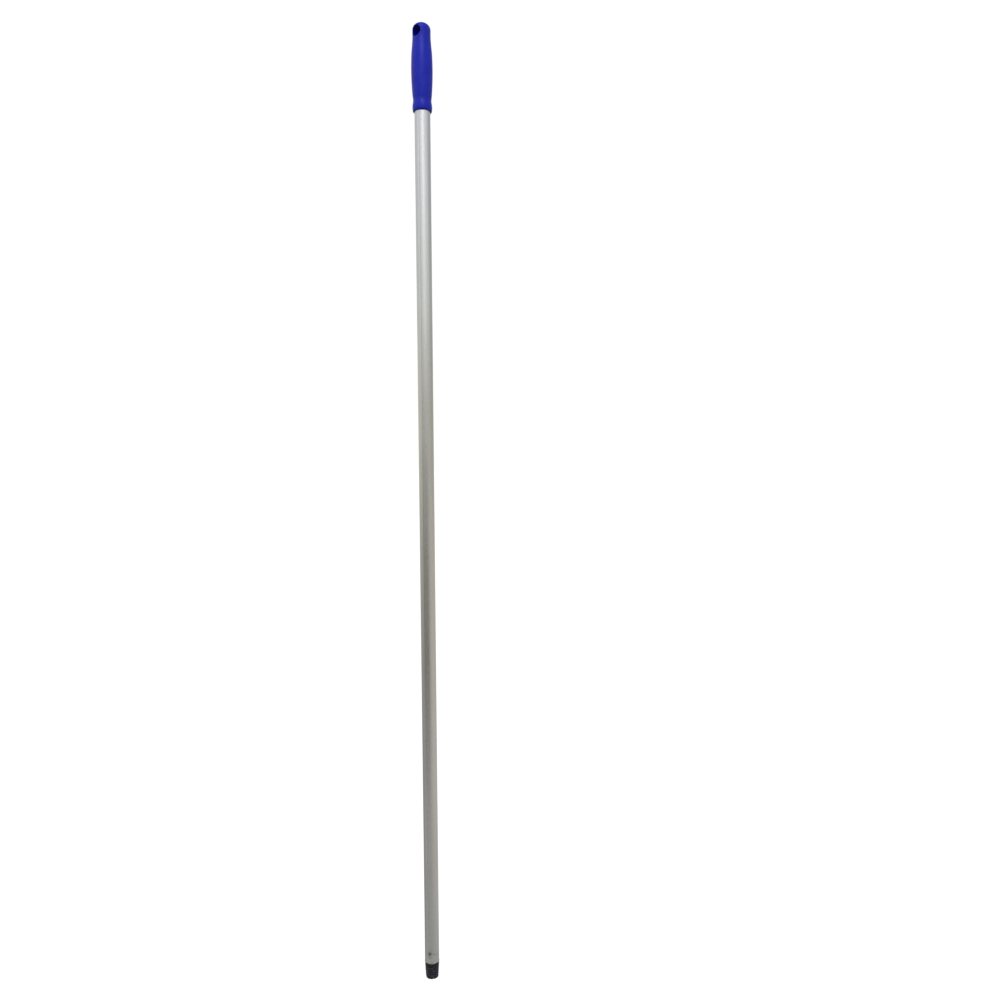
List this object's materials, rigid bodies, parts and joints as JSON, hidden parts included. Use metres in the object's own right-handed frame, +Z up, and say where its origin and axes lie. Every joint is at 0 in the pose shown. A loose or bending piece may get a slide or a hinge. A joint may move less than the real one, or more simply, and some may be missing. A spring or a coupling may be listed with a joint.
{
  "type": "threaded pole handle",
  "caption": "Straight tubular cleaning-tool handle with a moulded hand grip and hanging hole at one end and a coarse screw tip at the other.",
  "frame": {"origin": "centre of the screw tip's end face, the lowest point of the handle", "axes": "+Z up the handle from the screw tip to the grip; Y along the hanging hole's axis; X across it"},
  "size_m": [0.0298, 0.0298, 1.4],
  "materials": {
    "grip_plastic": "semi-gloss moulded polypropylene, royal blue",
    "tube_metal": "satin rolled strip with a fine lengthwise grain and a faint champagne tint",
    "tip_plastic": "black regrind plastic, scuffed to grey on the thread crests",
    "slug_metal": "torn raw strip metal with a little rust"
  },
  "bodies": {
    "root": {"grip": "grip_plastic", "tube": "tube_metal", "threaded_tip": "tip_plastic", "stake_slug_front": "slug_metal", "stake_slug_back": "slug_metal"}
  },
  "joints": []
}
